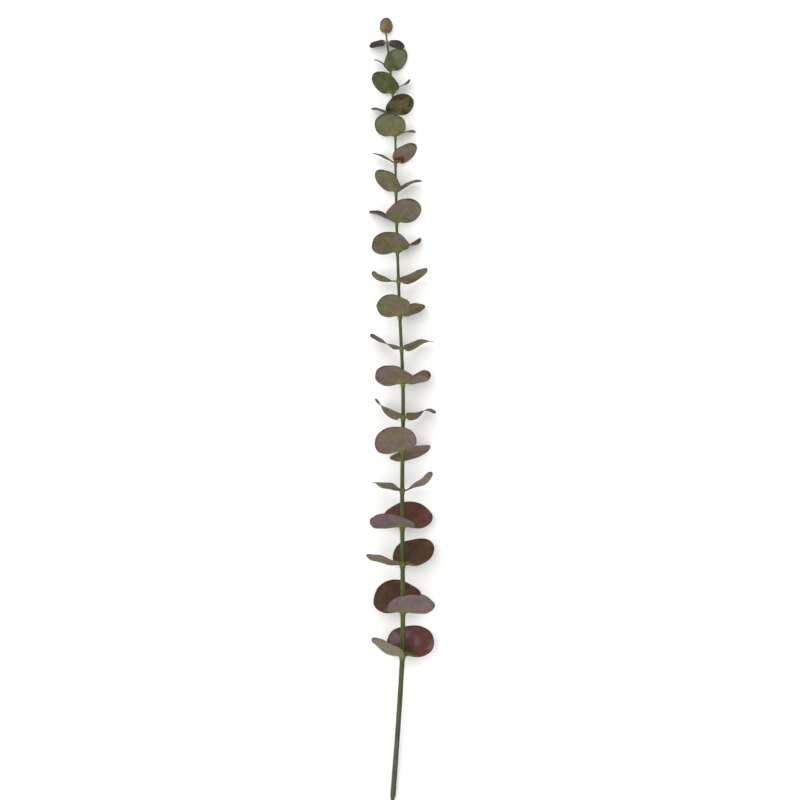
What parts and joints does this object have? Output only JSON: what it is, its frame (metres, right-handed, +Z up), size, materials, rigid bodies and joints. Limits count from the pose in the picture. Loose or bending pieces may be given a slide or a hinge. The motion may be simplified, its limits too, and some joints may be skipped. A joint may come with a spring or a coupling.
{
  "type": "eucalyptus branch",
  "caption": "Cut eucalyptus branch with round leaves in opposite pairs along one tapering stem, lying on a surface.",
  "frame": {"origin": "middle of the branch's footprint, on the surface it lies on", "axes": "+Y along the branch from its cut end to its tip, +Z up from the surface, +X to the right seen from above with the tip at the top"},
  "size_m": [0.07, 0.7968, 0.0588],
  "materials": {
    "stem": "satin green bark",
    "old_leaf": "matt waxy leaf, dark red-brown above and purple-grey below",
    "middle_leaf": "matt waxy leaf, taupe with an olive base",
    "young_leaf": "matt waxy leaf, grey-green"
  },
  "bodies": {
    "root": {"stem": "stem", "leaf_01_left": "old_leaf", "leaf_01_right": "old_leaf", "leaf_02_left": "old_leaf", "leaf_02_right": "old_leaf", "leaf_03_left": "old_leaf", "leaf_03_right": "old_leaf", "leaf_04_left": "old_leaf", "leaf_04_right": "old_leaf", "leaf_05_left": "old_leaf", "leaf_05_right": "old_leaf", "leaf_06_left": "old_leaf", "leaf_06_right": "old_leaf", "leaf_07_left": "old_leaf", "leaf_07_right": "old_leaf", "leaf_08_left": "middle_leaf", "leaf_08_right": "middle_leaf", "leaf_09_left": "middle_leaf", "leaf_09_right": "middle_leaf", "leaf_10_left": "middle_leaf", "leaf_10_right": "middle_leaf", "leaf_11_left": "middle_leaf", "leaf_11_right": "middle_leaf", "leaf_12_left": "middle_leaf", "leaf_12_right": "middle_leaf", "leaf_13_left": "middle_leaf", "leaf_13_right": "middle_leaf", "leaf_14_left": "middle_leaf", "leaf_14_right": "middle_leaf", "leaf_15_left": "young_leaf", "leaf_15_right": "young_leaf", "leaf_16_left": "young_leaf", "leaf_16_right": "young_leaf", "leaf_17_left": "young_leaf", "leaf_17_right": "young_leaf", "leaf_18_left": "young_leaf", "leaf_18_right": "young_leaf", "leaf_19_left": "young_leaf", "leaf_19_right": "young_leaf", "leaf_20_left": "young_leaf", "leaf_20_right": "young_leaf", "tip_leaf": "young_leaf"}
  },
  "joints": []
}
